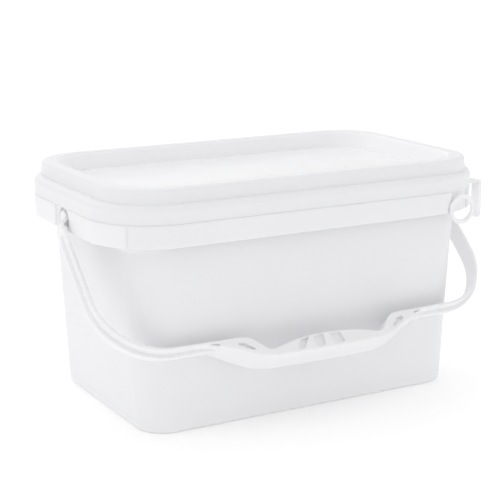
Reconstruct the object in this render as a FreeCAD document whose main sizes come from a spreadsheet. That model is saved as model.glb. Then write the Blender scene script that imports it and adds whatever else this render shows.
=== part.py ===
import FreeCAD, Part
import math
import os
import Sketcher
from FreeCAD import Placement, Rotation, Vector

# A ten litre paint bucket with an oblong body, a lid pressed on its rim, a tear strip with
# a pull ring and a swinging handle. Millimetres, with the origin at the middle of the base.
sizes = {
    # body, from the shoulder down
    "shoulder_half_length": 156.5,
    "shoulder_half_width": 94.4,
    "shoulder_corner": 30.0,
    "shoulder_height": 148.5,
    "taper_length": 8.5,
    "taper_width": 3.4,
    "taper_corner": 4.0,
    "base_edge_round": 4.0,
    "round_share": 0.29,
    "floor_thickness": 2.4,
    "floor_edge_round": 3.0,
    "wall": 1.9,
    # rim
    "rim_step_length": 7.5,
    "rim_step_width": 0.2,
    "rim_step_corner": 6.0,
    "rim_step_rise": 6.5,
    "rim_wall": 2.0,
    "rim_headroom": 5.8,
    "bead_height": 3.5,
    "bead_reach": 0.6,
    # collar round the rim
    "collar_reach_length": 14.9,
    "collar_reach_width": 11.3,
    "collar_corner_growth": 19.6,
    "collar_height": 18.2,
    "collar_thickness": 3.7,
    "collar_shelf": 2.0,
    "gusset_thickness": 1.6,
    "gusset_drop": 12.0,
    "end_gusset_gap": 24.0,
    "side_gusset_place": 42.0,
    "side_gusset_gap": 66.0,
    # handle seat in each end of the collar
    "lug_setback": 4.1,
    "lug_thickness": 2.6,
    "lug_half_width": 14.0,
    "lug_cheek": 2.0,
    "lug_drop": 1.0,
    "notch_side": 1.2,
    "pivot_drop": 9.7,
    "pivot_bore_radius": 4.5,
    # strip let into the front of the collar
    "strip_thickness": 2.0,
    "strip_gap": 0.3,
    "strip_left_angle": 45.0,
    "strip_end_gap_angle": 0.4,
    "recess_right_angle": 40.0,
    "strip_end_reach": 3.7,
    "strip_end_slant": 6.2,
    "cutting_margin": 4.0,
    # pull ring at the right end of the strip
    "ring_radius": 13.0,
    "ring_band": 3.8,
    "ring_hinge_place": 7.8,
    "ring_hinge_gap": 0.3,
    "ring_neck": 1.24,
    "ring_neck_half": 2.6,
    "ring_proud": 1.0,
    "ring_thickness": 2.8,
    "ring_edge_round": 0.9,
    # lid
    "seat_gap": 0.3,
    "skirt_setback": 0.7,
    "skirt_height": 13.5,
    "crown_step_length": 7.0,
    "crown_step_width": 4.6,
    "crown_step_corner": 11.5,
    "crown_step_rise": 4.4,
    "crown_lean_length": 1.6,
    "crown_lean_width": 1.4,
    "crown_lean_corner": 1.4,
    "crown_height": 8.9,
    "crown_outer_round": 3.0,
    "crown_inner_round": 2.0,
    "lid_wall": 2.0,
    "crest_length": 10.2,
    "crest_width": 10.7,
    "crest_corner": 2.1,
    "dish_lean_length": 2.2,
    "dish_lean_width": 2.1,
    "dish_lean_corner": 1.9,
    "dish_depth": 14.3,
    "panel_thickness": 2.0,
    # lifting tab on the lid
    "tab_reach": 3.2,
    "tab_thickness": 2.4,
    "tab_width": 11.5,
    "tab_setback": 21.7,
    "tab_rise": 2.9,
    "tab_length": 34.4,
    "tab_corner_round": 2.5,
    # handle, drawn hanging straight down from its pivots
    "strap_half_width": 8.5,
    "strap_thickness": 3.0,
    "root_gap": 0.4,
    "root_half_width": 6.5,
    "root_neck_end": 13.0,
    "root_flare": 11.0,
    "jog_start": 3.0,
    "jog_rise": 4.5,
    "arm_gap": 0.8,
    "bend_margin": 0.5,
    "bend_radius": 54.0,
    "wall_rest_gap": 0.44,
    "rib_half_thickness": 1.5,
    "rib_setback": 2.0,
    "rib_reach": 3.0,
    "rib_bend_reach": 4.4,
    "stud_gap": 0.3,
    "stud_catch": 0.8,
    "stud_play": 0.5,
    "stud_head": 2.4,
    "stud_tip_radius": 3.4,
    "grip_half_width": 11.0,
    "grip_reach": 112.0,
    "grip_depth": 20.7,
    "web_half_thickness": 1.2,
    "flare_outer_share": 0.84,
    "flare_inner_share": 0.7,
}

# Each point of the grip is across from the middle and down from the run of the strap, as
# shares of grip_reach and grip_depth; an arc to the next point adds its radius, as a share of
# grip_reach, and its turn.
sole_shares = [
    (1.0, 0.0, 0.38, 1),
    (0.83, 0.193),
    (0.625, 0.744, 0.43, -1),
    (0.446, 1.0, 6.56, -1),
]
palm_shares = [
    (0.848, -0.077),
    (0.643, 0.068, 0.071, 1),
    (0.561, 0.27),
    (0.507, 0.628, 0.05, -1),
    (0.438, 0.715),
    (0.321, 0.551, 1.357, 1),
]
eye_shares = [(0.911, 0.029), (0.848, 0.092), (0.777, 0.213), (0.777, 0.077)]
slit_shares = [
    (0.714, 0.193),
    (0.714, 0.367),
    (0.625, 0.599),
    (0.546, 0.754),
    (0.546, 0.676),
    (0.625, 0.261),
]
side_slot_shares = [(0.1, 0.478), (0.112, 0.942), (0.241, 0.918), (0.202, 0.551)]
middle_slot_shares = [(-0.063, 0.478), (-0.068, 0.942), (0.068, 0.942), (0.063, 0.478)]

os.makedirs("parts", exist_ok=True)
doc = FreeCAD.newDocument("bucket")
sheet = doc.addObject("Spreadsheet::Sheet", "Sizes")
for row, name in enumerate(sizes, start=1):
    sheet.set("A%d" % row, name)
    sheet.set("B%d" % row, str(sizes[name]))
    sheet.setAlias("B%d" % row, name)
doc.recompute()


class Size:
    # A length with the wording that keeps it tied to the sheet.
    def __init__(self, value, text):
        self.value = value
        self.text = text

    def __add__(self, other):
        return Size(self.value + other.value, "(%s + %s)" % (self.text, other.text))

    def __sub__(self, other):
        return Size(self.value - other.value, "(%s - %s)" % (self.text, other.text))

    def __neg__(self):
        return Size(-self.value, "(0 - %s)" % self.text)

    def __mul__(self, other):
        return Size(self.value * other.value, "(%s * %s)" % (self.text, other.text))

    def __truediv__(self, other):
        return Size(self.value / other.value, "(%s / %s)" % (self.text, other.text))

    def sine(self):
        return Size(math.sin(math.radians(self.value)), "sin(%s * 1 deg)" % self.text)

    def cosine(self):
        return Size(math.cos(math.radians(self.value)), "cos(%s * 1 deg)" % self.text)

    def root(self):
        return Size(math.sqrt(self.value), "sqrt(%s)" % self.text)


class Named:
    pass


s = Named()
for name, value in sizes.items():
    setattr(s, name, Size(value, "Sizes." + name))
zero = Size(0.0, "0")
two = Size(2.0, "2")

# heights, from the floor up
s.collar_bottom = s.shoulder_height + s.rim_step_rise
s.collar_top = s.collar_bottom + s.collar_height
s.lug_bottom = s.collar_bottom - s.lug_drop
s.pivot_height = s.collar_top - s.pivot_drop
s.skirt_bottom = s.collar_top + s.seat_gap
s.skirt_top = s.skirt_bottom + s.skirt_height
s.crown_base_height = s.skirt_top + s.crown_step_rise
s.lid_height = s.crown_base_height + s.crown_height
s.panel_height = s.lid_height - s.dish_depth
s.rim_height = s.lid_height - s.rim_headroom


def step(outline, half_length, half_width, corner):
    return (outline[0] + half_length, outline[1] + half_width, outline[2] + corner)


# outlines as half length, half width and corner radius, each stepped from its neighbour
shoulder_outline = (s.shoulder_half_length, s.shoulder_half_width, s.shoulder_corner)
base_outline = step(shoulder_outline, -s.taper_length, -s.taper_width, -s.taper_corner)
rim_outline = step(shoulder_outline, s.rim_step_length, s.rim_step_width, s.rim_step_corner)
collar_outline = step(
    rim_outline, s.collar_reach_length, s.collar_reach_width, s.collar_corner_growth
)
skirt_outline = step(collar_outline, -s.skirt_setback, -s.skirt_setback, -s.skirt_setback)
crown_base = step(
    skirt_outline, -s.crown_step_length, -s.crown_step_width, -s.crown_step_corner
)
crown_top = step(crown_base, -s.crown_lean_length, -s.crown_lean_width, -s.crown_lean_corner)
dish_outline = step(crown_top, -s.crest_length, -s.crest_width, -s.crest_corner)
panel_outline = step(dish_outline, -s.dish_lean_length, -s.dish_lean_width, -s.dish_lean_corner)
collar_end, collar_front, collar_corner = collar_outline
collar_flat = collar_end - collar_corner

# the handle's seat and reach
s.lug_outer = collar_end - s.lug_setback
s.root_inner = s.lug_outer + s.root_gap
s.tab_outer = skirt_outline[0] + s.tab_reach
s.tab_front = skirt_outline[1] - s.tab_setback
s.arm_inner = s.tab_outer + s.arm_gap
s.arm_outer = s.arm_inner + s.strap_thickness
s.bend_start = s.tab_front + s.bend_margin
s.run_drop = s.bend_start + s.bend_radius


def flip(point):
    return (-point[0],) + point[1:]


def add_edge(sketch, here, there, bend):
    start = Vector(here[0].value, here[1].value, 0)
    end = Vector(there[0].value, there[1].value, 0)
    if bend is None:
        return sketch.addGeometry(Part.LineSegment(start, end), False), 1, 2
    radius, turn = bend
    chord = end - start
    reach = math.sqrt(max(radius.value ** 2 - (chord.Length / 2) ** 2, 0.0))
    side = Vector(-chord.y, chord.x, 0).normalize() * reach * turn
    centre = (start + end) / 2 + side
    first, last = (start, end) if turn > 0 else (end, start)
    angles = [math.atan2(p.y - centre.y, p.x - centre.x) for p in (first, last)]
    circle = Part.Circle(centre, Vector(0, 0, 1), radius.value)
    index = sketch.addGeometry(Part.ArcOfCircle(circle, *angles), False)
    return (index, 1, 2) if turn > 0 else (index, 2, 1)


def bind(sketch, constraint, size):
    index = sketch.addConstraint(constraint)
    sketch.setExpression("Constraints[%d]" % index, size.text)


def pin(sketch, edge, end, point):
    axes = (("DistanceX", -2, point[0]), ("DistanceY", -1, point[1]))
    for kind, axis, size in axes:
        if size.text == "0":
            sketch.addConstraint(Sketcher.Constraint("PointOnObject", edge, end, axis))
        else:
            bind(sketch, Sketcher.Constraint(kind, -1, 1, edge, end, size.value), size)


def draw_loop(sketch, points):
    edges = []
    for index, point in enumerate(points):
        following = points[(index + 1) % len(points)]
        bend = point[2:] if len(point) > 2 else None
        edges.append(add_edge(sketch, point, following, bend))
    for index, (edge, start, end) in enumerate(edges):
        after, after_start, unused = edges[(index + 1) % len(edges)]
        sketch.addConstraint(Sketcher.Constraint("Coincident", edge, end, after, after_start))
        pin(sketch, edge, start, points[index])
        if len(points[index]) > 2:
            radius = points[index][2]
            bind(sketch, Sketcher.Constraint("Radius", edge, radius.value), radius)


def draw_circle(sketch, across, up, radius):
    centre = Vector(across.value, up.value, 0)
    circle = sketch.addGeometry(Part.Circle(centre, Vector(0, 0, 1), radius.value), False)
    pin(sketch, circle, 3, (across, up))
    bind(sketch, Sketcher.Constraint("Radius", circle, radius.value), radius)


def new_body(label):
    body = doc.addObject("PartDesign::Body", label)
    body.Label = label
    return body


def new_sketch(body, plane, offset, loops=(), circles=()):
    sketch = body.newObject("Sketcher::SketchObject", body.Label + "_sketch")
    role = plane + "_Plane"
    origin = [item for item in body.Origin.OriginFeatures if item.Role == role][0]
    sketch.AttachmentSupport = (origin, [""])
    sketch.MapMode = "FlatFace"
    if offset.text != "0":
        sketch.setExpression("AttachmentOffset.Base.z", offset.text)
    for loop in loops:
        draw_loop(sketch, loop)
    for circle in circles:
        draw_circle(sketch, *circle)
    return sketch


def extrude(body, kind, sketch, length, both=False, back=False):
    feature = body.newObject("PartDesign::" + kind, body.Label + "_" + kind.lower())
    feature.Profile = sketch
    feature.setExpression("Length", length.text)
    feature.Midplane = both
    feature.Reversed = back
    return feature


def loft(body, kind, lower, upper):
    feature = body.newObject("PartDesign::" + kind, body.Label + "_loft")
    feature.Profile = lower
    feature.Sections = [upper]
    feature.Ruled = True
    return feature


def round_edges(body, test, radius):
    doc.recompute()
    before = body.Shape.Volume
    names = []
    for index, edge in enumerate(body.Shape.Edges, start=1):
        if test(edge):
            names.append("Edge%d" % index)
    tip = body.Tip
    feature = body.newObject("PartDesign::Fillet", body.Label + "_round")
    feature.Base = (tip, names)
    feature.setExpression("Radius", radius.text)
    doc.recompute()
    if abs(body.Shape.Volume - before) < 1e-6:
        raise RuntimeError(body.Label + ": a rounding left the body as it was")


def lies_at_height(edge, height):
    box = edge.BoundBox
    return abs(box.ZMin - height) < 1e-4 and abs(box.ZMax - height) < 1e-4


def oblong(half_length, half_width, corner):
    flat_x = half_length - corner
    flat_y = half_width - corner
    return [
        (-flat_x, -half_width),
        (flat_x, -half_width, corner, 1),
        (half_length, -flat_y),
        (half_length, flat_y, corner, 1),
        (flat_x, half_width),
        (-flat_x, half_width, corner, 1),
        (-half_length, flat_y),
        (-half_length, -flat_y, corner, 1),
    ]


def oblong_sketch(body, height, outline, inset=zero):
    half_length, half_width, corner = outline
    loop = oblong(half_length - inset, half_width - inset, corner - inset)
    return new_sketch(body, "XY", height, [loop])


def rounded_foot(body, kind, height, outline, inset, radius, top_height, top_outline, top_inset):
    # A tapering oblong whose foot turns in with a rounded edge of the given radius.
    share = s.round_share
    steps = [
        (height, outline, inset + radius),
        (height + radius * share, outline, inset + radius * share),
        (height + radius, outline, inset),
        (top_height, top_outline, top_inset),
    ]
    for lower, upper in zip(steps, steps[1:]):
        loft(body, kind, oblong_sketch(body, *lower), oblong_sketch(body, *upper))


def block(x_low, x_high, y_low, y_high):
    return [(x_low, y_low), (x_high, y_low), (x_high, y_high), (x_low, y_high)]


def collar_band(inner_inset, outer_inset, left_turn, right_turn):
    # The stretch of the collar that runs round the front, between two places on its corners.
    across = collar_flat
    back = collar_front - collar_corner
    inner = collar_corner - inner_inset
    outer = collar_corner - outer_inset

    def at(side, radius, turn):
        x = across + radius * turn.sine()
        return (x if side > 0 else -x, -(back + radius * turn.cosine()))

    return [
        at(-1, outer, left_turn) + (outer, 1),
        (-across, -(back + outer)),
        (across, -(back + outer), outer, 1),
        at(1, outer, right_turn),
        at(1, inner, right_turn) + (inner, -1),
        (across, -(back + inner)),
        (-across, -(back + inner), inner, -1),
        at(-1, inner, left_turn),
    ]


def make_tub():
    body = new_body("tub")
    rounded_foot(
        body, "AdditiveLoft", zero, base_outline, zero, s.base_edge_round,
        s.shoulder_height, shoulder_outline, zero,
    )

    # step out to the rim, the rim with its bead, and the collar
    lower = oblong_sketch(body, s.shoulder_height, shoulder_outline)
    upper = oblong_sketch(body, s.collar_bottom, rim_outline)
    loft(body, "AdditiveLoft", lower, upper)
    rim = oblong_sketch(body, s.collar_bottom, rim_outline)
    extrude(body, "Pad", rim, s.rim_height - s.collar_bottom)
    collar = oblong_sketch(body, s.collar_bottom, collar_outline)
    extrude(body, "Pad", collar, s.collar_top - s.collar_bottom)
    bead = oblong_sketch(body, s.rim_height - s.bead_height, rim_outline, -s.bead_reach)
    extrude(body, "Pad", bead, s.bead_height)
    half_length, half_width, corner = collar_outline
    inset = s.collar_thickness
    channel = oblong(half_length - inset, half_width - inset, corner - inset)
    under = new_sketch(body, "XY", s.collar_bottom, [channel, oblong(*rim_outline)])
    depth = s.collar_top - s.collar_shelf - s.collar_bottom
    extrude(body, "Pocket", under, depth, back=True)

    # the inside
    rounded_foot(
        body, "SubtractiveLoft", s.floor_thickness, base_outline, s.wall, s.floor_edge_round,
        s.shoulder_height, shoulder_outline, s.wall,
    )
    lower = oblong_sketch(body, s.shoulder_height, shoulder_outline, s.wall)
    upper = oblong_sketch(body, s.collar_bottom, rim_outline, s.rim_wall)
    loft(body, "SubtractiveLoft", lower, upper)
    mouth = oblong_sketch(body, s.collar_bottom, rim_outline, s.rim_wall)
    extrude(body, "Pocket", mouth, s.rim_height - s.collar_bottom, back=True)

    # gussets under the collar
    half = s.gusset_thickness / two
    near_x = rim_outline[0] - half
    far_x = collar_end - s.collar_thickness + half
    near_y = rim_outline[1] - half
    far_y = collar_front - s.collar_thickness + half
    end_place = s.lug_half_width + s.end_gusset_gap
    loops = []
    for place in (end_place, -end_place):
        loops.append(block(near_x, far_x, place - half, place + half))
        loops.append(block(-far_x, -near_x, place - half, place + half))
    for place in (s.side_gusset_place, s.side_gusset_place + s.side_gusset_gap):
        for centre in (place, -place):
            loops.append(block(centre - half, centre + half, near_y, far_y))
            loops.append(block(centre - half, centre + half, -far_y, -near_y))
    gussets = new_sketch(body, "XY", s.collar_top - s.gusset_drop, loops)
    extrude(body, "Pad", gussets, s.gusset_drop - s.collar_shelf / two)

    # a seat for the handle in each end: a lug with two cheeks, and the collar cut away
    lug_inner = s.lug_outer - s.lug_thickness
    root = rim_outline[0] - half
    wing = s.lug_half_width - s.lug_cheek
    seat = [
        (root, -s.lug_half_width),
        (s.lug_outer, -s.lug_half_width),
        (s.lug_outer, s.lug_half_width),
        (root, s.lug_half_width),
        (root, wing),
        (lug_inner, wing),
        (lug_inner, -wing),
        (root, -wing),
    ]
    lugs = new_sketch(body, "XY", s.lug_bottom, [seat, [flip(point) for point in seat]])
    extrude(body, "Pad", lugs, s.collar_top - s.collar_shelf / two - s.lug_bottom)
    reach = collar_end + s.cutting_margin
    notch_side = s.lug_half_width + s.notch_side
    notch = block(s.lug_outer, reach, -notch_side, notch_side)
    notches = new_sketch(body, "XY", s.lug_bottom, [notch, [flip(point) for point in notch]])
    extrude(body, "Pocket", notches, s.collar_top + s.cutting_margin - s.lug_bottom, back=True)
    bore = [(zero, s.pivot_height, s.pivot_bore_radius)]
    for start, back in ((s.lug_outer, False), (-s.lug_outer, True)):
        hole = new_sketch(body, "YZ", start, circles=bore)
        extrude(body, "Pocket", hole, s.lug_thickness + s.gusset_thickness, back=back)

    # the recess for the tear strip
    depth = s.strip_thickness + s.strip_gap
    band = collar_band(depth, -s.cutting_margin, s.strip_left_angle, s.recess_right_angle)
    recess = new_sketch(body, "XY", s.lug_bottom, [band])
    extrude(body, "Pocket", recess, s.collar_top + s.cutting_margin - s.lug_bottom, back=True)
    return body


def make_strip():
    body = new_body("tear_strip")
    left = s.strip_left_angle - s.strip_end_gap_angle
    band = collar_band(s.strip_thickness, zero, left, s.recess_right_angle)
    profile = new_sketch(body, "XY", s.collar_bottom, [band])
    extrude(body, "Pad", profile, s.collar_top - s.collar_bottom)
    end_bottom = collar_flat + s.strip_end_reach
    end_top = end_bottom + s.strip_end_slant
    lean = s.strip_end_slant / s.collar_height * s.cutting_margin
    beyond = end_top + collar_corner
    waste = [
        (end_bottom - lean, s.collar_bottom - s.cutting_margin),
        (beyond, s.collar_bottom - s.cutting_margin),
        (beyond, s.collar_top + s.cutting_margin),
        (end_top + lean, s.collar_top + s.cutting_margin),
    ]
    trim = new_sketch(body, "XZ", zero, [waste])
    extrude(body, "Pocket", trim, collar_front * two + s.cutting_margin, both=True)
    return body


def make_ring():
    # The living hinge lies along the slanting end of the strip; out and up are measured from it.
    body = new_body("pull_ring")
    whole = (s.strip_end_slant * s.strip_end_slant + s.collar_height * s.collar_height).root()
    along = (s.strip_end_slant / whole, s.collar_height / whole)
    square = (s.collar_height / whole, -s.strip_end_slant / whole)

    def place(out, up):
        above = s.ring_hinge_place + up
        return (
            collar_flat + s.strip_end_reach + square[0] * out + along[0] * above,
            s.collar_bottom + square[1] * out + along[1] * above,
        )

    start = collar_front + s.ring_proud - s.ring_thickness
    hole_radius = s.ring_radius - s.ring_band
    centre = place(s.ring_neck + s.ring_radius, zero)
    disc = new_sketch(body, "XZ", start, circles=[centre + (s.ring_radius,)])
    extrude(body, "Pad", disc, s.ring_thickness)
    far = s.ring_neck + s.ring_band / two
    neck = [
        place(s.ring_hinge_gap, s.ring_neck_half),
        place(s.ring_hinge_gap, -s.ring_neck_half),
        place(far, -s.ring_neck_half),
        place(far, s.ring_neck_half),
    ]
    web = new_sketch(body, "XZ", start, [neck])
    extrude(body, "Pad", web, s.ring_thickness)
    hole = new_sketch(body, "XZ", start, circles=[centre + (hole_radius,)])
    extrude(body, "Pocket", hole, s.ring_thickness, back=True)

    def is_rim(edge):
        return edge.Length > math.pi * hole_radius.value

    round_edges(body, is_rim, s.ring_edge_round)
    return body


def make_lid():
    body = new_body("lid")
    skirt = oblong_sketch(body, s.skirt_bottom, skirt_outline)
    extrude(body, "Pad", skirt, s.skirt_top - s.skirt_bottom)
    lower = oblong_sketch(body, s.skirt_top, skirt_outline)
    upper = oblong_sketch(body, s.crown_base_height, crown_base)
    loft(body, "AdditiveLoft", lower, upper)
    lower = oblong_sketch(body, s.crown_base_height, crown_base)
    upper = oblong_sketch(body, s.lid_height, crown_top)
    loft(body, "AdditiveLoft", lower, upper)

    # the hollow that the rim stands in, then the dish pressed down in the middle
    mouth = oblong_sketch(body, s.skirt_bottom, skirt_outline, s.lid_wall)
    turn = s.skirt_top - s.lid_wall / two
    extrude(body, "Pocket", mouth, turn - s.skirt_bottom, back=True)
    lower = oblong_sketch(body, turn, skirt_outline, s.lid_wall)
    upper = oblong_sketch(body, s.crown_base_height - s.lid_wall / two, crown_base, s.lid_wall)
    loft(body, "SubtractiveLoft", lower, upper)
    lower = oblong_sketch(body, s.crown_base_height - s.lid_wall / two, crown_base, s.lid_wall)
    upper = oblong_sketch(body, s.lid_height - s.lid_wall, crown_top, s.lid_wall)
    loft(body, "SubtractiveLoft", lower, upper)
    lower = oblong_sketch(body, s.panel_height - s.panel_thickness, panel_outline, -s.lid_wall)
    upper = oblong_sketch(body, s.lid_height - s.lid_wall / two, dish_outline, -s.lid_wall)
    loft(body, "AdditiveLoft", lower, upper)
    lower = oblong_sketch(body, s.panel_height, panel_outline)
    upper = oblong_sketch(body, s.lid_height, dish_outline)
    loft(body, "SubtractiveLoft", lower, upper)
    doc.recompute()
    top = s.lid_height.value
    split_x = crown_top[0].value - s.crest_length.value / 2
    split_y = crown_top[1].value - s.crest_width.value / 2

    def is_outer(edge):
        box = edge.BoundBox
        far_x = max(-box.XMin, box.XMax) > split_x
        far_y = max(-box.YMin, box.YMax) > split_y
        return lies_at_height(edge, top) and (far_x or far_y)

    def is_inner(edge):
        return lies_at_height(edge, top) and not is_outer(edge)

    round_edges(body, is_outer, s.crown_outer_round)
    round_edges(body, is_inner, s.crown_inner_round)

    # lifting tab at the front right corner
    tab_inner = s.tab_outer - s.tab_thickness
    tab_back = s.tab_front - s.tab_width
    tab_top = s.skirt_bottom + s.tab_rise
    arm_bottom = tab_top - s.tab_thickness
    corner = skirt_outline[2]
    down = s.tab_front - skirt_outline[1] + corner
    arm_end = skirt_outline[0] - corner + (corner * corner - down * down).root()
    arm_inner = arm_end - s.lid_wall / two
    outline = [
        (arm_inner, arm_bottom),
        (tab_inner, arm_bottom),
        (tab_inner, tab_top - s.tab_length),
        (s.tab_outer, tab_top - s.tab_length),
        (s.tab_outer, tab_top - s.tab_corner_round, s.tab_corner_round, 1),
        (s.tab_outer - s.tab_corner_round, tab_top),
        (arm_inner, tab_top),
    ]
    tab = new_sketch(body, "XZ", tab_back, [outline])
    extrude(body, "Pad", tab, s.tab_width)
    return body


def mirrored_path(half):
    # half runs from the right end towards the middle; the rest is its mirror image
    path = list(half)
    for index in range(len(half) - 1, -1, -1):
        across, up = half[index][0], half[index][1]
        bend = half[index - 1][2:] if index > 0 else ()
        path.append((-across, up) + tuple(bend))
    return path


def grip_points(shares):
    points = []
    for share in shares:
        across = s.grip_reach * Size(share[0], str(share[0]))
        down = s.run_drop + s.grip_depth * Size(share[1], str(share[1]))
        point = (across, -down)
        if len(share) > 2:
            point += (s.grip_reach * Size(share[2], str(share[2])), share[3])
        points.append(point)
    return points


def handle_outline():
    root_outer = s.root_inner + s.strap_thickness
    bend_centre = s.arm_outer - s.bend_radius
    inner_bend = s.bend_radius - s.strap_thickness
    jog_end = s.jog_start + s.jog_rise
    sunk = s.strap_thickness / two
    outer = [
        (root_outer, zero),
        (root_outer, -s.jog_start),
        (s.arm_outer, -jog_end),
        (s.arm_outer, -s.bend_start, s.bend_radius, -1),
        (bend_centre, -s.run_drop),
    ] + grip_points(sole_shares)
    inner = [
        (s.root_inner, zero),
        (s.root_inner, -s.jog_start - sunk),
        (s.arm_inner, -jog_end - sunk),
        (s.arm_inner, -s.bend_start, inner_bend, -1),
        (bend_centre, -s.bend_start - inner_bend),
    ] + grip_points(palm_shares)
    right = mirrored_path(outer)
    # back along the inside, from the left root to the right one
    back = []
    path = mirrored_path(inner)
    for index in range(len(path) - 1, -1, -1):
        bend = path[index - 1][2:] if index > 0 else ()
        if bend:
            bend = (bend[0], -bend[1])
        back.append(path[index][:2] + tuple(bend))
    return right + back


def both_sides(loop):
    return [loop, [flip(point) for point in reversed(loop)]]


def make_handle():
    body = new_body("handle")
    outline = handle_outline()
    grip_width = s.grip_half_width * two
    extrude(body, "Pad", new_sketch(body, "XZ", zero, [outline]), grip_width, both=True)

    # the straps are narrower than the grip, and narrower still at the roots
    far = s.arm_outer + s.cutting_margin
    outside = s.grip_half_width + s.cutting_margin
    flare = [
        (s.grip_reach * s.flare_outer_share, s.strap_half_width),
        (far, s.strap_half_width),
        (far, outside),
        (s.grip_reach * s.flare_inner_share, outside),
        (s.grip_reach * s.flare_inner_share, s.grip_half_width),
    ]
    waste = both_sides(flare) + both_sides([(x, -y) for x, y in reversed(flare)])
    strips = new_sketch(body, "XY", zero, waste)
    low = s.run_drop + s.grip_depth + s.rib_bend_reach
    extrude(body, "Pocket", strips, (low + s.cutting_margin) * two, both=True)
    neck_end = s.root_neck_end
    flare_end = neck_end + s.root_flare
    neck = [
        (s.root_half_width, s.cutting_margin),
        (s.root_half_width, -neck_end),
        (s.strap_half_width, -flare_end),
        (outside, -flare_end),
        (outside, s.cutting_margin),
    ]
    necks = new_sketch(body, "YZ", zero, both_sides(neck))
    extrude(body, "Pocket", necks, far * two, both=True)

    # pockets in the sides of the grip, with a web left in the middle
    eye = grip_points(eye_shares)
    slit = grip_points(slit_shares)
    side_slot = grip_points(side_slot_shares)
    middle_slot = grip_points(middle_slot_shares)
    loops = both_sides(eye) + both_sides(slit) + both_sides(side_slot) + [middle_slot]
    extrude(body, "Pocket", new_sketch(body, "XZ", zero, loops), grip_width, both=True)
    web = new_sketch(body, "XZ", zero, [outline])
    extrude(body, "Pad", web, s.web_half_thickness * two, both=True)

    # a rib runs down the outside of each strap and round the bend
    sunk = s.strap_thickness / two
    bend_centre = s.arm_outer - s.bend_radius
    rib_bend = s.bend_radius + (s.rib_reach + s.rib_bend_reach) / two
    rib_start = neck_end + s.rib_setback
    eye_end = eye[0][0]
    foot = grip_points(sole_shares)[1]
    rib = [
        (s.arm_outer - sunk, -rib_start),
        (s.arm_outer, -rib_start),
        (s.arm_outer + s.rib_reach, -flare_end),
        (s.arm_outer + s.rib_reach, -s.bend_start, rib_bend, -1),
        (bend_centre, -s.run_drop - s.rib_bend_reach),
        (eye_end, -s.run_drop - s.rib_reach),
        foot,
        (foot[0], -s.run_drop),
        (eye_end, -s.run_drop + sunk),
        (bend_centre, -s.run_drop + sunk, s.bend_radius - sunk, 1),
        (s.arm_outer - sunk, -s.bend_start),
    ]
    ribs = new_sketch(body, "XZ", zero, both_sides_bent(rib))
    extrude(body, "Pad", ribs, s.rib_half_thickness * two, both=True)

    # round roots and the studs that snap into the lugs
    disc = [(zero, zero, s.root_half_width)]
    for start, back in ((s.root_inner, False), (-s.root_inner, True)):
        root = new_sketch(body, "YZ", start, circles=disc)
        extrude(body, "Pad", root, s.strap_thickness, back=back)
    stud_radius = s.pivot_bore_radius - s.stud_gap
    head_radius = s.pivot_bore_radius + s.stud_catch
    head_face = s.lug_outer - s.lug_thickness - s.stud_play
    head_end = head_face - s.stud_head
    stud = [
        (s.root_inner + sunk, zero),
        (s.root_inner + sunk, stud_radius),
        (head_face, stud_radius),
        (head_face, head_radius),
        (head_end, s.stud_tip_radius),
        (head_end, zero),
    ]
    studs = new_sketch(body, "XZ", zero, both_sides(stud))
    turned = body.newObject("PartDesign::Revolution", "handle_studs")
    turned.Profile = studs
    turned.ReferenceAxis = (studs, ["H_Axis"])
    turned.Angle = 360

    # it hangs with the inside of its run just off the front wall
    lean = s.taper_width / s.shoulder_height
    inner_run = s.run_drop - s.strap_thickness
    forward = inner_run + lean * s.strap_half_width
    down = lean * inner_run - s.strap_half_width
    front = base_outline[1] + lean * s.pivot_height + s.wall_rest_gap
    span = (forward * forward + down * down).root()
    angle = math.degrees(math.asin(front.value / span.value))
    angle -= math.degrees(math.asin(down.value / span.value))
    body.Placement = Placement(
        Vector(0, 0, s.pivot_height.value), Rotation(Vector(-1, 0, 0), angle)
    )
    body.setExpression("Placement.Base.z", s.pivot_height.text)
    wording = "asin(%s) - asin(%s)" % ((front / span).text, (down / span).text)
    body.setExpression("Placement.Rotation.Angle", wording)
    print("handle hangs at %.3f degrees" % angle)
    return body


def both_sides_bent(loop):
    mirrored = []
    count = len(loop)
    for index in range(count - 1, -1, -1):
        bend = loop[index - 1][2:]
        mirrored.append((-loop[index][0], loop[index][1]) + tuple(bend))
    return [loop, mirrored]


for make in (make_tub, make_strip, make_ring, make_lid, make_handle):
    part = make()
    doc.recompute()
    for item in doc.Objects:
        if "Invalid" in item.State or "Error" in item.State:
            raise RuntimeError("%s: %s is %s" % (part.Label, item.Name, item.State))
    if part.Shape.isNull() or not part.Shape.isValid():
        raise RuntimeError(part.Label + " has no sound shape")
    part.Shape.exportStep("parts/%s.step" % part.Label)
    print(part.Label, len(part.Shape.Solids), round(part.Shape.Volume), part.Shape.BoundBox)
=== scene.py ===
import math

import bmesh
import bpy
from mathutils import Matrix, Vector


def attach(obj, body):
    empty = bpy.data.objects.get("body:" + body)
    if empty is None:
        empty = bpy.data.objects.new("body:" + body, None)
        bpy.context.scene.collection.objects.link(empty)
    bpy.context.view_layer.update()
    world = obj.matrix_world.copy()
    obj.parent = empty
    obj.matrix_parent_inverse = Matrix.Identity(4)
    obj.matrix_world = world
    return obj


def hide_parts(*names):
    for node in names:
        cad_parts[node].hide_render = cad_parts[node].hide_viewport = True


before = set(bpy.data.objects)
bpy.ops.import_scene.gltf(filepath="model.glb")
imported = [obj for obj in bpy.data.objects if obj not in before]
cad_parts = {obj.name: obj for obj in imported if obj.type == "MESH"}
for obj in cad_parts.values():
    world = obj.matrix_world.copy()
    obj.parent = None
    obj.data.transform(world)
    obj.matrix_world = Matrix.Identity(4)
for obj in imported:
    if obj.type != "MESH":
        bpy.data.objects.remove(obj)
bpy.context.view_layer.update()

mm = 0.001
sides = (-1, 1)
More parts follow.
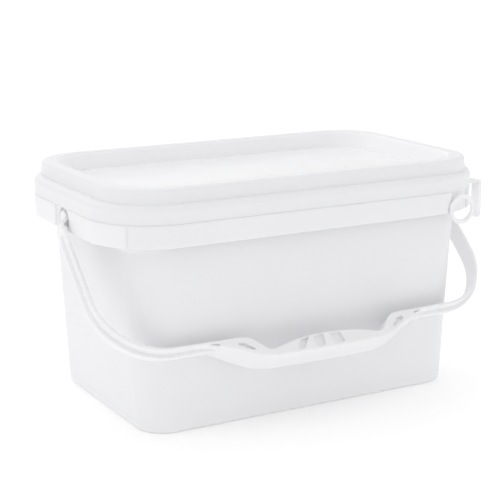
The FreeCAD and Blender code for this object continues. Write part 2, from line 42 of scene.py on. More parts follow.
cornerSigns = ((-1, -1), (1, -1), (1, 1), (-1, 1))
noRound = (0, 0)
white = (1, 1, 1, 1)
scene = bpy.context.scene
print("solids loaded")

# Sizes are in millimetres and angles in degrees. A round is its radius and its number of steps.
meshing = {
    "weld": 0.002,      # points nearer than this become one
    "near": 0.01,       # how far off a point may be and still count as on a loop
    "cornerSteps": 28,  # steps round each corner of the oblong outlines
    "drumSteps": 48,    # steps round a bore or a stud
    "cornerAngle": 60,  # edges sharper than this count as corners to be rounded
    "crispAngle": 34,   # edges sharper than this are shaded crisp
    "faceWeight": 80,   # how far large faces lead the shading
}


def meshFrom(bm, name):
    mesh = bpy.data.meshes.new(name)
    bm.to_mesh(mesh)
    bm.free()
    return mesh


def joinUp(bm, points, closed=True):
    # points with an edge from each to the next
    verts = [bm.verts.new([size * mm for size in point]) for point in points]
    for here, there in zip(verts, verts[1:] + (verts[:1] if closed else [])):
        bm.edges.new((here, there))
    return verts


def roundOff(bm, parts, rounding, affect="EDGES"):
    radius, steps = rounding
    return bmesh.ops.bevel(bm, geom=parts, offset=radius * mm, offset_type="OFFSET",
                           segments=steps, profile=0.5, affect=affect, material=-1)


def capHoles(bm):
    bmesh.ops.holes_fill(bm, edges=[edge for edge in bm.edges if edge.is_boundary], sides=0)


def tidyNormals(bm):
    bmesh.ops.remove_doubles(bm, verts=bm.verts, dist=meshing["weld"] * mm)
    bmesh.ops.recalc_face_normals(bm, faces=bm.faces)


def slicePlane(bm, point, outward, clear=False):
    # cut across by a plane, and what lies outside it cleared away if asked
    bmesh.ops.bisect_plane(bm, geom=bm.verts[:] + bm.edges[:] + bm.faces[:],
                           plane_co=Vector(point) * mm, plane_no=outward, clear_outer=clear)


def spinRound(bm, centre, axis, steps):
    # all that is drawn so far, turned once round an axis and closed on itself
    bmesh.ops.spin(bm, geom=bm.verts[:] + bm.edges[:], cent=[size * mm for size in centre],
                   axis=axis, dvec=(0, 0, 0), angle=math.radians(360), steps=steps,
                   use_merge=True)
    tidyNormals(bm)


def oblongLoop(bm, outline, height, inset=0.0):
    # a level oblong with round corners; outline is its half length, half width and corner
    halfLength, halfWidth, corner = [size - inset for size in outline]
    verts = joinUp(bm, [(x * halfLength, y * halfWidth, height) for x, y in cornerSigns])
    rounded = roundOff(bm, verts, (corner, meshing["cornerSteps"]), "VERTICES")
    return list({edge for vert in rounded["verts"] for edge in vert.link_edges})


def onLoop(edge, outline, height, inset=0.0):
    # whether an edge is part of the loop that oblongLoop would draw
    halfLength, halfWidth, corner = [size - inset for size in outline]
    for vert in edge.verts:
        pastX = max(abs(vert.co.x) / mm - halfLength + corner, 0)
        pastY = max(abs(vert.co.y) / mm - halfWidth + corner, 0)
        offHeight = abs(vert.co.z / mm - height)
        offOutline = abs(math.hypot(pastX, pastY) - corner)
        if max(offHeight, offOutline) > meshing["near"]:
            return False
    return True


def oblongShell(profile, closed=False):
    # profile lists oblong sections, each with the round of its edge, and a wall goes from each
    # section to the next; the ends are capped, or joined to each other when it is closed
    sections = [section for section, rounding in profile]
    bm = bmesh.new()
    for low, high in zip(sections, sections[1:] + (sections[:1] if closed else [])):
        band = bmesh.new()
        bmesh.ops.bridge_loops(band, edges=oblongLoop(band, *low) + oblongLoop(band, *high))
        wall = meshFrom(band, "wall")
        bm.from_mesh(wall)
        bpy.data.meshes.remove(wall)
    bmesh.ops.remove_doubles(bm, verts=bm.verts, dist=meshing["weld"] * mm)
    if not closed:
        capHoles(bm)
    bmesh.ops.recalc_face_normals(bm, faces=bm.faces)
    for section, rounding in profile:
        if rounding != noRound:
            roundOff(bm, [edge for edge in bm.edges if onLoop(edge, *section)], rounding)
    return bm


def drawOutline(bm, points, place, closed=True):
    # flat points, some with a round for their corner; place turns them to their place in space
    verts = joinUp(bm, [place(a, b) for a, b, *rounding in points], closed)
    for vert, (a, b, *rounding) in zip(verts, points):
        if rounding:
            roundOff(bm, [vert], rounding, "VERTICES")


def polygonPlate(points, place, thickness):
    # an outline filled with a face and pushed out
    bm = bmesh.new()
    drawOutline(bm, points, place)
    face = bmesh.ops.contextual_create(bm, geom=bm.edges[:])["faces"][0]
    pushed = bmesh.ops.extrude_face_region(bm, geom=[face])["geom"]
    bmesh.ops.translate(bm, vec=[size * mm for size in thickness],
                        verts=[item for item in pushed if isinstance(item, bmesh.types.BMVert)])
    bmesh.ops.recalc_face_normals(bm, faces=bm.faces)
    return bm


def sharpEdges(bm, degrees, test=lambda edge: True):
    # edges where two faces meet at more than an angle, and that pass the test
    limit = math.radians(degrees)
    return [edge for edge in bm.edges if len(edge.link_faces) == 2
            and edge.calc_face_angle(0.0) > limit and test(edge)]


def middle(edge):
    return (edge.verts[0].co + edge.verts[1].co) / (2 * mm)


def runsAlong(edge, axis):
    # whether an edge runs along x, y or z, which are 0, 1 and 2
    return abs(edge.verts[0].co[axis] - edge.verts[1].co[axis]) > edge.calc_length() / 2


def blockMesh(low, high, rounding):
    bm = bmesh.new()
    bmesh.ops.create_cube(bm, size=1.0)
    bmesh.ops.scale(bm, vec=[(b - a) * mm for a, b in zip(low, high)], verts=bm.verts)
    bmesh.ops.translate(bm, vec=[(a + b) / 2 * mm for a, b in zip(low, high)], verts=bm.verts)
    if rounding != noRound:
        roundOff(bm, bm.edges[:], rounding)
    return meshFrom(bm, "block")


def drumMesh(radius, xLow, xHigh, height):
    bm = bmesh.new()
    bmesh.ops.create_cone(bm, cap_ends=True, segments=meshing["drumSteps"], radius1=radius * mm,
                          radius2=radius * mm, depth=abs(xHigh - xLow) * mm)
    bmesh.ops.rotate(bm, cent=(0, 0, 0), matrix=Matrix.Rotation(math.radians(90), 3, "Y"),
                     verts=bm.verts)
    bmesh.ops.translate(bm, vec=((xLow + xHigh) / 2 * mm, 0, height * mm), verts=bm.verts)
    return meshFrom(bm, "drum")


def cutOrJoin(mesh, others, operation):
    # a mesh with the other meshes cut away from it or joined to it
    work = bpy.data.objects.new("work", mesh)
    scene.collection.objects.link(work)
    helpers = []
    for other in others:
        helper = bpy.data.objects.new("helper", other)
        scene.collection.objects.link(helper)
        helpers.append(helper)
        step = work.modifiers.new("step", "BOOLEAN")
        step.operation = operation
        step.solver = "EXACT"
        step.object = helper
    graph = bpy.context.evaluated_depsgraph_get()
    result = bpy.data.meshes.new_from_object(work.evaluated_get(graph), depsgraph=graph)
    for item in [work] + helpers:
        bpy.data.objects.remove(item)
    return result


def finishPiece(mesh, name, node, materials, chooseMaterial=lambda polygon: 0):
    # one named piece that rides on its CAD body and stands for its CAD node
    mesh.name = name
    mesh.materials.clear()
    for material in materials:
        mesh.materials.append(material)
    for polygon in mesh.polygons:
        polygon.use_smooth = True
        polygon.material_index = chooseMaterial(polygon)
    mesh.set_sharp_from_angle(angle=math.radians(meshing["crispAngle"]))
    piece = bpy.data.objects.new(name, mesh)
    scene.collection.objects.link(piece)
    evened = piece.modifiers.new("evened", "WEIGHTED_NORMAL")
    evened.keep_sharp = True
    evened.weight = meshing["faceWeight"]
    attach(piece, node)
    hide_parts(node)
    print("made", name, len(mesh.vertices), "points")


def sRgb(hexCode):
    # an sRGB hex value as the linear colour that shaders take
    parts = [int(hexCode[i:i + 2], 16) / 255 for i in (1, 3, 5)]
    return tuple(part / 12.92 if part <= 0.04045 else ((part + 0.055) / 1.055) ** 2.4
                 for part in parts) + (1,)


def addNode(tree, kind, settings=None, **inputs):
    # one node with its settings, and its inputs filled with values or with other nodes' outputs;
    # an input is named, or numbered, as in input6, where a node has several of one name
    node = tree.nodes.new(kind)
    for key, value in (settings or {}).items():
        setattr(node, key, value)
    for key, value in inputs.items():
        numbered = key.startswith("input")
        socket = node.inputs[int(key[len("input"):]) if numbered else key.replace("_", " ")]
        if isinstance(value, bpy.types.NodeSocket):
            tree.links.new(value, socket)
        else:
            socket.default_value = value
    return node


# Natural white polypropylene, injection moulded: a satin shell with soft, wide highlights, and
# edges that glow faintly because a little light passes into it.
satin = {
    "darker": "#F3F3F5", "lighter": "#F7F7F9", "ior": 1.49, "roughLow": 0.36, "roughHigh": 0.5,
    "seepage": 0.3, "seepDepth": 3.0, "seepSpread": (1.0, 0.95, 0.9), "paintedGlow": 0.0,
    # each pattern's real size across, its detail and its roughness
    "cloud": (60.0, 2.0, 0.5),   # shade of the pigment
    "patch": (24.0, 3.0, 0.55),  # how well the melt copied the mould
    "wave": (45.0, 1.0, 0.4),    # shrinkage as the wall cooled
    # the mould's spark-eroded grain, really 0.1 mm across, is drawn 0.7 mm so that it shows
    "grain": (0.7, 2.0, 0.6),
    "grainStrength": 0.14, "grainDepth": 0.03, "waveStrength": 1.0, "waveDepth": 0.04,
}


def mouldedPolypropylene(name, look):
    material = bpy.data.materials.new(name)
    material.use_nodes = True
    tree = material.node_tree
    tree.nodes.clear()
    place = addNode(tree, "ShaderNodeTexCoord").outputs["Object"]
    noise = {}
    for pattern in ("cloud", "patch", "grain", "wave"):
        across, detail, roughness = look[pattern]
        noise[pattern] = addNode(tree, "ShaderNodeTexNoise", Vector=place,
                                 Scale=1 / (across * mm), Detail=detail,
                                 Roughness=roughness).outputs["Fac"]
    # the clouds tint the colour and the patches dull or polish it
    tint = addNode(tree, "ShaderNodeMix", {"data_type": "RGBA"}, Factor=noise["cloud"],
                   input6=sRgb(look["darker"]), input7=sRgb(look["lighter"])).outputs[2]
    rough = addNode(tree, "ShaderNodeMapRange", Value=noise["patch"], To_Min=look["roughLow"],
                    To_Max=look["roughHigh"]).outputs["Result"]
    # the fine grain lies on the slow waves
    fine = addNode(tree, "ShaderNodeBump", Strength=look["grainStrength"],
                   Distance=look["grainDepth"] * mm, Height=noise["grain"]).outputs["Normal"]
    slow = addNode(tree, "ShaderNodeBump", Strength=look["waveStrength"],
                   Distance=look["waveDepth"] * mm, Height=noise["wave"],
                   Normal=fine).outputs["Normal"]
    # the emission is a painted glow that lifts a part's shade; plain satin has none
    shader = addNode(tree, "ShaderNodeBsdfPrincipled", Base_Color=tint, Roughness=rough,
                     Normal=slow, IOR=look["ior"], Subsurface_Weight=look["seepage"],
                     Subsurface_Radius=look["seepSpread"],
                     Subsurface_Scale=look["seepDepth"] * mm, Emission_Color=white,
                     Emission_Strength=look["paintedGlow"])
    addNode(tree, "ShaderNodeOutputMaterial", Surface=shader.outputs["BSDF"])
    return material


# the tub, its strip and its ring are one moulding: plain satin
tubPlastic = mouldedPolypropylene("satin moulded polypropylene", satin)
# painted shade: the lid is the same plastic drawn a shade greyer than the tub, as its walls catch
# less light
shadedLidPlastic = mouldedPolypropylene("satin moulded polypropylene lid with painted shade", dict(
    satin, darker="#F0F0F2", lighter="#F4F4F6"))
# the mould is polished for the sunken panel: clearer highlights and hardly any grain
panelPlastic = mouldedPolypropylene("smooth moulded polypropylene panel", dict(
    satin, roughLow=0.2, roughHigh=0.3, grainStrength=0.08))
# a painted glow on the lid's ring and tab lifts their shade, standing in for light shining
# through the thin plastic
paintedGlowPlastic = mouldedPolypropylene("thin polypropylene with painted glow", dict(
    satin, paintedGlow=0.09))
# the handle is a third moulding, as satin as the tub
gripPlastic = mouldedPolypropylene("satin moulded polypropylene handle", satin)
print("materials made")


stage = {
    "cameraPlace": (-0.57932, -1.01429, 0.39625),
    "cameraTilt": 76.540, "cameraTurn": -29.517, "lens": 98.80, "sensor": 36.0, "farEnd": 100.0,
    "floorHalf": 14.0, "floorSquares": 4,
    "floorShade": "#FDFDFD", "floorRoughness": 0.9, "floorGlow": 0.14, "skyStrength": 0.78,
    # each lamp's strength, softness and where it shines from
    "lamps": {
        "key": (0.18, 32.0, (-0.62, 0.25, 0.74)),
        "overhead": (0.25, 60.0, (0.0, 0.0, 1.0)),
        "back light": (0.32, 60.0, (0.2, 0.75, 0.6)),
    },
}

camera = bpy.data.objects.new("camera", bpy.data.cameras.new("camera"))
camera.data.lens = stage["lens"]
camera.data.sensor_width = stage["sensor"]
camera.data.clip_end = stage["farEnd"]
camera.location = stage["cameraPlace"]
camera.rotation_euler = (math.radians(stage["cameraTilt"]), 0, math.radians(stage["cameraTurn"]))
scene.collection.objects.link(camera)
scene.camera = camera

# a sweep of matt white paper: no highlight, and it glows enough to stay white round the bucket
bm = bmesh.new()
bmesh.ops.create_grid(bm, x_segments=stage["floorSquares"], y_segments=stage["floorSquares"],
                      size=stage["floorHalf"])
floor = bpy.data.objects.new("floor", meshFrom(bm, "floor"))
scene.collection.objects.link(floor)
paper = bpy.data.materials.new("matt white paper")
paper.use_nodes = True
sheet = paper.node_tree.nodes["Principled BSDF"].inputs
sheet["Base Color"].default_value = sRgb(stage["floorShade"])
sheet["Roughness"].default_value = stage["floorRoughness"]
sheet["Emission Color"].default_value = white
sheet["Emission Strength"].default_value = stage["floorGlow"]
floor.data.materials.append(paper)

world = bpy.data.worlds.new("studio")
scene.world = world
world.use_nodes = True
sky = world.node_tree.nodes["Background"].inputs
sky["Color"].default_value = white
sky["Strength"].default_value = stage["skyStrength"]

for name, (strength, softness, source) in stage["lamps"].items():
    lamp = bpy.data.objects.new("soft " + name, bpy.data.lights.new("soft " + name, "SUN"))
    lamp.data.energy = strength
    lamp.data.angle = math.radians(softness)
    lamp.rotation_euler = Vector(source).to_track_quat("Z", "Y").to_euler()
    scene.collection.objects.link(lamp)
scene.view_settings.view_transform = "Standard"
print("stage set")


tubSizes = {
    # outlines, as half length, half width and corner
    "base": (148.0, 91.0, 26.0), "shoulder": (156.5, 94.4, 30.0), "rim": (164.0, 94.6, 36.0),
    "collar": (178.9, 105.9, 55.6),
    # wall
    "wall": 1.9, "floor": 2.4, "rimWall": 2.0, "shoulderTop": 148.5, "rimTop": 194.5,
    "beadHeight": 3.5, "beadReach": 0.6, "footRound": (4.0, 6), "shoulderRound": (1.5, 3),
    "rimFootRound": (1.2, 3), "beadRound": (0.3, 2), "rimTopRound": (0.8, 3),
    "insideRound": (3.0, 5),
    # collar, whose shelf is sunk a little into the rim
    "collarBottom": 155.0, "collarTop": 173.2, "collarThickness": 3.7, "shelf": 2.0,
    "shelfSunk": 0.8, "collarRound": (0.9, 3), "collarTopRound": (0.12, 1),
    "shelfRound": (0.8, 2),
    # gussets under the collar, at the ends and along the sides
    "endGussetX": 169.6, "endGussetY": (-38.0, 38.0), "endGussetHalf": (6.4, 0.8),
    "sideGussetY": 98.4, "sideGussetX": (-108.0, -42.0, 42.0, 108.0),
    "sideGussetHalf": (0.8, 4.6), "gussetLow": 161.2, "gussetHigh": 172.2,
    "gussetRound": (0.3, 2),
    # the lugs that carry the handle, hollow towards the rim
    "lugPlan": [(163.2, -14.0), (174.8, -14.0), (174.8, 14.0), (163.2, 14.0), (163.2, 12.0),
                (172.2, 12.0), (172.2, -12.0), (163.2, -12.0)],
    "lugBottom": 154.0, "lugHeight": 18.2, "lugCornersBeyond": 170.0,
    "lugCornerRound": (0.8, 3), "lugFootBelow": 154.5, "lugFootBeyond": 163.5,
    "lugFootRound": (0.4, 2),
    # the notch, the round seat and the bore for each of the handle's studs
    "pivotHeight": 163.5, "notchFloor": 177.4, "notchOuter": 183.0, "notchHalf": 15.2,
    "seatRadius": 10.0, "seatFloor": 174.8, "seatOuter": 182.5,
    "boreRadius": 4.5, "boreInner": 165.0, "boreOuter": 178.0,
    # the recess for the strip; it and the notches are cut between these heights
    "cutLow": 150.0, "cutHigh": 178.0, "recessDepth": 2.3, "recessReach": 4.0,
    "recessLeft": 45.0, "recessRight": 40.0,
}
collar = tubSizes["collar"]
cornerX, cornerY = collar[0] - collar[2], collar[1] - collar[2]  # centre of the collar's corners


def collarBand(low, high, inner, outer, leftAngle, rightCut, rounds):
    # the stretch of the collar's band round the front, cut by a plane at each end; rounds are
    # for its top front, bottom front, bottom back and top back edges
    sections = [(collar, high, -outer), (collar, low, -outer), (collar, low, inner),
                (collar, high, inner)]
    bm = oblongShell(list(zip(sections, rounds)), closed=True)
    turn = math.radians(leftAngle)
    leftCut = ((-cornerX, -cornerY, 0), (-math.cos(turn), math.sin(turn), 0))
    backCut = ((0, 0, 0), (0, 1, 0))
    for point, outward in (leftCut, rightCut, backCut):
        slicePlane(bm, point, outward, clear=True)
    capHoles(bm)
    tidyNormals(bm)
    return bm


def makeTub(z):
    base, shoulder, rim = z["base"], z["shoulder"], z["rim"]
    beadBottom, reach = z["rimTop"] - z["beadHeight"], -z["beadReach"]
    body = meshFrom(oblongShell([
        ((base, 0.0), z["footRound"]),
        ((shoulder, z["shoulderTop"]), z["shoulderRound"]),
        ((rim, z["collarBottom"]), z["rimFootRound"]),
        ((rim, beadBottom), noRound),
        ((rim, beadBottom, reach), z["beadRound"]),
        ((rim, z["rimTop"], reach), z["rimTopRound"]),
        ((rim, z["rimTop"], z["rimWall"]), z["rimTopRound"]),
        ((rim, z["collarBottom"], z["rimWall"]), z["rimFootRound"]),
        ((shoulder, z["shoulderTop"], z["wall"]), z["shoulderRound"]),
        ((base, z["floor"], z["wall"]), z["insideRound"]),
    ]), "tub body")

    # the collar: a shelf that turns down round the rim
    top, bottom, thick = z["collarTop"], z["collarBottom"], z["collarThickness"]
    band = meshFrom(oblongShell([
        ((rim, top, z["shelfSunk"]), noRound),
        ((collar, top), z["collarTopRound"]),
        ((collar, bottom), z["collarRound"]),
        ((collar, bottom, thick), z["collarRound"]),
        ((collar, top - z["shelf"], thick), z["shelfRound"]),
        ((rim, top - z["shelf"], z["shelfSunk"]), noRound),
    ], closed=True), "collar")

    # gussets and the handle's lugs under the collar
    adds = [band]
    gussets = [((side * z["endGussetX"], y), z["endGussetHalf"])
               for side in sides for y in z["endGussetY"]]
    gussets += [((x, side * z["sideGussetY"]), z["sideGussetHalf"])
                for side in sides for x in z["sideGussetX"]]
    for (x, y), (halfX, halfY) in gussets:
        adds.append(blockMesh((x - halfX, y - halfY, z["gussetLow"]),
                              (x + halfX, y + halfY, z["gussetHigh"]), z["gussetRound"]))
    for side in sides:
        bm = polygonPlate(z["lugPlan"], lambda a, b: (side * a, b, z["lugBottom"]),
                          (0, 0, z["lugHeight"]))
        upright = sharpEdges(bm, meshing["cornerAngle"], lambda edge: runsAlong(edge, 2)
                             and abs(middle(edge).x) > z["lugCornersBeyond"])
        roundOff(bm, upright, z["lugCornerRound"])
        foot = sharpEdges(bm, meshing["cornerAngle"],
                          lambda edge: middle(edge).z < z["lugFootBelow"]
                          and abs(middle(edge).x) > z["lugFootBeyond"])
        roundOff(bm, foot, z["lugFootRound"])
        adds.append(meshFrom(bm, "lug"))
    whole = cutOrJoin(body, adds, "UNION")

    # the collar is cut away for the handle's roots, bored for its studs and let in for the strip
    cuts = []
    for side in sides:
        inner, outer = sorted((side * z["notchFloor"], side * z["notchOuter"]))
        cuts.append(blockMesh((inner, -z["notchHalf"], z["cutLow"]),
                              (outer, z["notchHalf"], z["cutHigh"]), noRound))
        cuts.append(drumMesh(z["seatRadius"], side * z["seatFloor"], side * z["seatOuter"],
                             z["pivotHeight"]))
        cuts.append(drumMesh(z["boreRadius"], side * z["boreInner"], side * z["boreOuter"],
                             z["pivotHeight"]))
    turn = math.radians(z["recessRight"])
    rightCut = ((cornerX, -cornerY, 0), (math.cos(turn), math.sin(turn), 0))
    cuts.append(meshFrom(collarBand(z["cutLow"], z["cutHigh"], z["recessDepth"],
                                    z["recessReach"], z["recessLeft"], rightCut,
                                    [noRound] * 4), "recess"))
    return cutOrJoin(whole, cuts, "DIFFERENCE")


finishPiece(makeTub(tubSizes), "paint_bucket_tub", "tub", [tubPlastic])


stripSizes = {
    "bottom": 155.0, "top": 173.2, "thickness": 2.0, "leftAngle": 44.99,
    "endX": cornerX + 3.7, "slant": 6.2,
    # top front, bottom front, bottom back and top back edges, then the cut ends
    "rounds": [(0.12, 1), (0.8, 3), (0.3, 2), (0.3, 2)], "endAngle": 70, "endRound": (0.06, 1),
}


def makeStrip(z):
    lean = Vector((z["top"] - z["bottom"], 0, -z["slant"])).normalized()
    rightCut = ((z["endX"], 0, z["bottom"]), lean)
    bm = collarBand(z["bottom"], z["top"], z["thickness"], 0.0, z["leftAngle"], rightCut,
                    z["rounds"])
    roundOff(bm, sharpEdges(bm, z["endAngle"]), z["endRound"])
    return meshFrom(bm, "strip")


finishPiece(makeStrip(stripSizes), "tear_off_strip", "tear_strip", [tubPlastic])


ringSizes = {
    "centre": (142.99, 157.79), "radius": 13.0, "hole": 9.2, "front": -106.9, "back": -104.1,
    "edgeRound": (0.9, 4), "turnSteps": 72,
    # the neck, measured from the strip's slanting end
    "centreFromStrip": 14.24, "neckStart": 0.3, "neckEnd": 3.4, "neckHalf": 2.6,
    "neckRound": (0.35, 2),
}


def makeRing(z):
    centreX, centreZ = z["centre"]
    middleR, halfR = (z["radius"] + z["hole"]) / 2, (z["radius"] - z["hole"]) / 2
    middleY, halfY = (z["back"] + z["front"]) / 2, (z["back"] - z["front"]) / 2
    bm = bmesh.new()
    verts = joinUp(bm, [(centreX + middleR + a * halfR, middleY + b * halfY, centreZ)
                        for a, b in cornerSigns])
    roundOff(bm, verts, z["edgeRound"], "VERTICES")
    spinRound(bm, (centreX, 0, centreZ), (0, 1, 0), z["turnSteps"])
    band = meshFrom(bm, "ring band")

    # the neck that ties it to the slanting end of the strip
    bm = bmesh.new()
    bmesh.ops.create_cube(bm, size=1.0)
    reach = z["neckEnd"] - z["neckStart"]
    bmesh.ops.scale(bm, vec=(reach * mm, 2 * halfY * mm, 2 * z["neckHalf"] * mm), verts=bm.verts)
    roundOff(bm, bm.edges[:], z["neckRound"])
    lean = math.atan2(stripSizes["slant"], stripSizes["top"] - stripSizes["bottom"])
    bmesh.ops.rotate(bm, cent=(0, 0, 0), matrix=Matrix.Rotation(lean, 3, "Y"), verts=bm.verts)
    out = (z["neckStart"] + z["neckEnd"]) / 2 - z["centreFromStrip"]
    bmesh.ops.translate(bm, vec=((centreX + out * math.cos(lean)) * mm, middleY * mm,
                                 (centreZ - out * math.sin(lean)) * mm), verts=bm.verts)
    return cutOrJoin(band, [meshFrom(bm, "neck")], "UNION")


finishPiece(makeRing(ringSizes), "pull_ring_loop", "pull_ring", [tubPlastic])


lidSizes = {
    # outlines, as half length, half width and corner
    "panel": (151.5, 86.4, 33.0), "dish": (159.4, 88.5, 39.9), "crownTop": (169.6, 99.2, 42.0),
    "crownBase": (171.2, 100.6, 43.4), "skirtWidest": (178.9, 105.85, 55.55),
    "skirtFoot": (178.6, 105.6, 55.3), "skirtInside": (178.2, 105.2, 54.9),
    # heights
    "bottom": 173.22, "widest": 182.6, "shoulderTop": 188.2, "top": 200.3, "panelTop": 186.0,
    "innerLow": 183.0, "innerHigh": 186.4, "wall": 2.0, "panelThickness": 2.0,
    "shoulderSteps": 7,
    "panelRound": (0.5, 3), "dishRound": (2.0, 5), "crownRound": (3.0, 6),
    "crownFootRound": (0.6, 3), "insideRound": (0.8, 2), "insideCrownRound": (1.0, 2),
    "insideDishRound": (0.6, 2),
    # the lifting tab at the front right corner, seen along y
    "tabOutline": [(165.5, 174.0), (179.0, 174.0, 0.8, 3), (179.0, 142.0), (181.4, 142.0),
                   (181.4, 176.4, 2.5, 5), (165.5, 176.4)],
    "tabStart": -83.5, "tabWidth": 11.5, "tabFootBelow": 142.5, "tabFootRound": (3.0, 5),
    "tabEdgesBeyond": 166.5, "tabEdgeAngle": 50, "tabEdgeRound": (0.5, 2),
    # where each of the lid's looks is seen; the ring's inner wall and the tab get the painted
    # glow
    "levelFace": 0.9, "panelHeights": (185.0, 187.0), "ringHeights": (185.9, 199.5),
    "tabBeyond": 178.95, "tabBelow": 176.0,
}


def between(low, high, share):
    return tuple(a + (b - a) * share for a, b in zip(low, high))


def makeLid(z):
    panel, dish, crownTop = z["panel"], z["dish"], z["crownTop"]
    top, bottom, wall = z["top"], z["bottom"], z["wall"]
    profile = [((panel, z["panelTop"]), z["panelRound"]), ((dish, top), z["dishRound"]),
               ((crownTop, top), z["crownRound"])]
    # the shoulder bulges out and down to the widest place in a quarter of an ellipse
    for step in range(z["shoulderSteps"] + 1):
        turn = math.radians(90 * step / z["shoulderSteps"])
        outline = between(z["crownBase"], z["skirtWidest"], math.sin(turn))
        height = z["widest"] + (z["shoulderTop"] - z["widest"]) * math.cos(turn)
        profile.append(((outline, height), noRound if step else z["crownFootRound"]))
    profile += [
        ((z["skirtFoot"], bottom), noRound),
        ((z["skirtFoot"], bottom, wall), noRound),
        ((z["skirtInside"], z["innerLow"], wall), z["insideRound"]),
        ((z["crownBase"], z["innerHigh"], wall), z["insideRound"]),
        ((crownTop, top - wall, wall), z["insideCrownRound"]),
        ((dish, top - wall, -wall), z["insideDishRound"]),
        ((panel, z["panelTop"] - z["panelThickness"], -wall), z["insideRound"]),
    ]
    body = meshFrom(oblongShell(profile), "lid body")

    # the tab's foot is rounded first, then the edges that are out in the open
    bm = polygonPlate(z["tabOutline"], lambda a, b: (a, z["tabStart"], b), (0, z["tabWidth"], 0))
    foot = sharpEdges(bm, meshing["cornerAngle"], lambda edge: runsAlong(edge, 0)
                      and middle(edge).z < z["tabFootBelow"])
    roundOff(bm, foot, z["tabFootRound"])
    exposed = sharpEdges(bm, z["tabEdgeAngle"], lambda edge: middle(edge).x > z["tabEdgesBeyond"])
    roundOff(bm, exposed, z["tabEdgeRound"])
    return cutOrJoin(body, [meshFrom(bm, "tab")], "UNION")


def lidLook(polygon):
    # smooth on the sunken panel, a painted glow on the ring's inner wall and the tab, satin
    # elsewhere
    centre, normal = polygon.center / mm, polygon.normal
    facesInward = normal.x * centre.x + normal.y * centre.y < 0
    panelLow, panelHigh = lidSizes["panelHeights"]
    ringLow, ringHigh = lidSizes["ringHeights"]
    if normal.z > lidSizes["levelFace"] and panelLow < centre.z < panelHigh:
        return 1
    if facesInward and ringLow < centre.z < ringHigh:
        return 2
    return 2 if centre.x > lidSizes["tabBeyond"] and centre.z < lidSizes["tabBelow"] else 0


finishPiece(makeLid(lidSizes), "press_on_lid", "lid",
            [shadedLidPlastic, panelPlastic, paintedGlowPlastic], lidLook)


# The handle is drawn hanging straight down, then swung forward to rest on the front wall. Its
# points are how far they are from the middle and how far below the pivot, then their round.
handleSizes = {
    "pivotHeight": tubSizes["pivotHeight"], "restAngle": 46.998,
    # the arm, and the drops between which its root jogs out from the lug
    "rootOuter": 178.2, "rootInner": 175.2, "armOuter": 185.2, "armInner": 182.2,
    "jogOuter": (3.0, 7.5), "jogInner": (4.5, 9.0), "jogStartRound": (1.5, 3),
    "jogEndRound": (2.0, 3), "edgesBelow": 0.5, "edgeRound": (0.45, 3),
    # the bend from arm to strap
    "runOuter": 138.0, "runInner": 135.0, "bendOuter": 54.0, "bendInner": 51.0, "bendSteps": 24,
    # the grip, from its horn to the middle
    "gripOuter": [(101.0, 138.0, 8.5, 6), (59.3, 158.8, 11.0, 8), (0.0, 160.5, 40.0, 10)],
    "gripInner": [(95.0, 136.4, 4.0, 4), (67.2, 138.9, 4.8, 5), (53.3, 153.9, 4.6, 5),
                  (0.0, 140.9, 37.0, 16)],
    # half widths, and where each goes over to the next
    "gripHalf": 11.0, "strapHalf": 8.5, "rootHalf": 6.8, "flareFrom": 94.1, "flareTo": 78.4,
    "neckEnd": 9.0, "neckFlareEnd": 16.0, "rootsBeyond": 100.0,
    # pockets in each side of the grip, and how far from the middle their floors are
    "slots": [[(-24.0, 148.4), (-30.0, 156.8), (-23.4, 157.2), (-15.8, 147.6)],
              [(-11.3, 147.2), (-12.2, 157.4), (-4.0, 157.6), (-1.5, 147.0)],
              [(3.0, 147.0), (5.5, 157.6), (15.3, 157.2), (14.3, 147.6)]],
    "slotRound": (0.8, 3),
    "slit": [(79.0, 142.6, 0.8, 3), (79.0, 145.4, 0.8, 3), (70.0, 149.8), (66.0, 151.4, 0.4, 2),
             (66.4, 149.8, 0.4, 2), (73.0, 143.4, 1.0, 3)],
    "eye": [(104.0, 138.6), (98.5, 139.7, 0.8, 3), (93.5, 141.4, 0.4, 2), (93.5, 139.4, 0.5, 2)],
    "slotFloor": 8.2, "eyeFloor": 6.6, "pocketDepth": 14.0,
    # the rib on the outside of each arm, sunk into it, with its end on the grip
    "ribHalf": 1.6, "ribSunk": 1.5, "ribStart": 15.0, "ribReach": 3.0, "ribFull": (24.0, 1.0, 2),
    "ribBendReach": 3.7, "ribRound": (0.5, 2),
    "ribEnd": [(102.0, 141.0, 3.0, 2), (93.0, 142.0), (93.0, 138.0), (102.0, 136.5)],
    # the round root and the stud that snaps into the lug, as distance from the middle and radius
    "stud": [(178.15, 0.0), (178.15, 6.86, 0.7, 3), (175.25, 6.86, 0.4, 2), (175.25, 4.2),
             (171.7, 4.2), (171.7, 5.3), (169.3, 3.4), (169.3, 0.0)],
}


def onSide(points, side):
    # points drawn for the right side, kept there or mirrored to the left
    return [(side * across, *rest) for across, *rest in points]


def both(points):
    # a path from the right end to the middle, with its mirror image back to the left end
    return points + onSide([point for point in reversed(points) if point[0]], -1)


def howFar(value, start, end):
    return min(max((value - start) / (end - start), 0), 1)


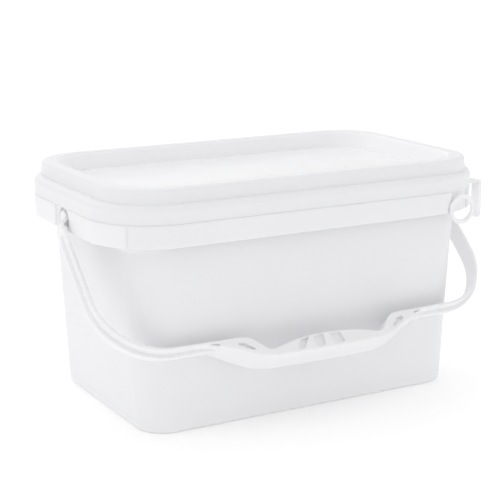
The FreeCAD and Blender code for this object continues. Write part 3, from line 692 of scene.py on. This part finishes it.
def makeHandle(z):
    def armPath(root, arm, jog, run, bend, grip):
        return both([(root, 0.0), (root, jog[0], *z["jogStartRound"]),
                     (arm, jog[1], *z["jogEndRound"]), (arm, run, bend, z["bendSteps"])] + grip)

    outer = armPath(z["rootOuter"], z["armOuter"], z["jogOuter"], z["runOuter"], z["bendOuter"],
                    z["gripOuter"])
    inner = armPath(z["rootInner"], z["armInner"], z["jogInner"], z["runInner"], z["bendInner"],
                    z["gripInner"])
    half = z["gripHalf"]
    bm = polygonPlate(outer + inner[::-1], lambda across, drop: (across, 0.0, -drop),
                      (0, 2 * half, 0))
    bmesh.ops.translate(bm, vec=(0, -half * mm, 0), verts=bm.verts)

    # cut across where the width changes, then draw the straps and the roots in
    for side in sides:
        for x in (z["flareFrom"], z["flareTo"]):
            slicePlane(bm, (side * x, 0, 0), (1, 0, 0))
    for drop in (z["neckEnd"], z["neckFlareEnd"]):
        slicePlane(bm, (0, 0, -drop), (0, 0, 1))
    for vert in bm.verts:
        across, drop = abs(vert.co.x) / mm, -vert.co.z / mm
        width = half + (z["strapHalf"] - half) * howFar(across, z["flareTo"], z["flareFrom"])
        if across > z["rootsBeyond"]:
            neck = howFar(drop, z["neckFlareEnd"], z["neckEnd"])
            width += (z["rootHalf"] - z["strapHalf"]) * neck
        vert.co.y *= width / half
    bmesh.ops.recalc_face_normals(bm, faces=bm.faces)
    rims = sharpEdges(bm, meshing["cornerAngle"], lambda edge: -middle(edge).z > z["edgesBelow"])
    roundOff(bm, rims, z["edgeRound"])
    body = meshFrom(bm, "handle body")

    # pockets moulded into both sides of the grip, with a web left between them
    pockets = [([(*point, *z["slotRound"]) for point in slot], z["slotFloor"])
               for slot in z["slots"]]
    for shape, level in ((z["eye"], z["eyeFloor"]), (z["slit"], z["slotFloor"])):
        pockets += [(onSide(shape, side), level) for side in (1, -1)]
    cuts = []
    for side in sides:
        for shape, level in pockets:
            bm = polygonPlate(shape, lambda across, drop: (across, side * level, -drop),
                              (0, side * z["pocketDepth"], 0))
            cuts.append(meshFrom(bm, "pocket"))
    body = cutOrJoin(body, cuts, "DIFFERENCE")

    # ribs, round roots and studs
    adds = []
    outside, sunk = z["armOuter"] + z["ribReach"], z["armOuter"] - z["ribSunk"]
    rib = [
        (sunk, z["ribStart"]), (z["armOuter"], z["ribStart"]), (outside, *z["ribFull"]),
        (outside, z["runOuter"] + z["ribBendReach"], z["bendOuter"] + z["ribBendReach"],
         z["bendSteps"]),
        *z["ribEnd"],
        (sunk, z["runOuter"] - z["ribSunk"], z["bendOuter"] - z["ribSunk"], z["bendSteps"]),
    ]
    for side in sides:
        bm = polygonPlate(onSide(rib, side), lambda across, drop: (across, -z["ribHalf"], -drop),
                          (0, 2 * z["ribHalf"], 0))
        roundOff(bm, sharpEdges(bm, meshing["cornerAngle"]), z["ribRound"])
        adds.append(meshFrom(bm, "rib"))

        bm = bmesh.new()
        drawOutline(bm, onSide(z["stud"], side), lambda across, radius: (across, 0, radius),
                    closed=False)
        spinRound(bm, (0, 0, 0), (1, 0, 0), meshing["drumSteps"])
        adds.append(meshFrom(bm, "stud"))
    body = cutOrJoin(body, adds, "UNION")
    swing = Matrix.Rotation(math.radians(-z["restAngle"]), 4, "X")
    body.transform(Matrix.Translation((0, 0, z["pivotHeight"] * mm)) @ swing)
    return body


finishPiece(makeHandle(handleSizes), "carry_handle", "handle", [gripPlastic])
print("all pieces made")
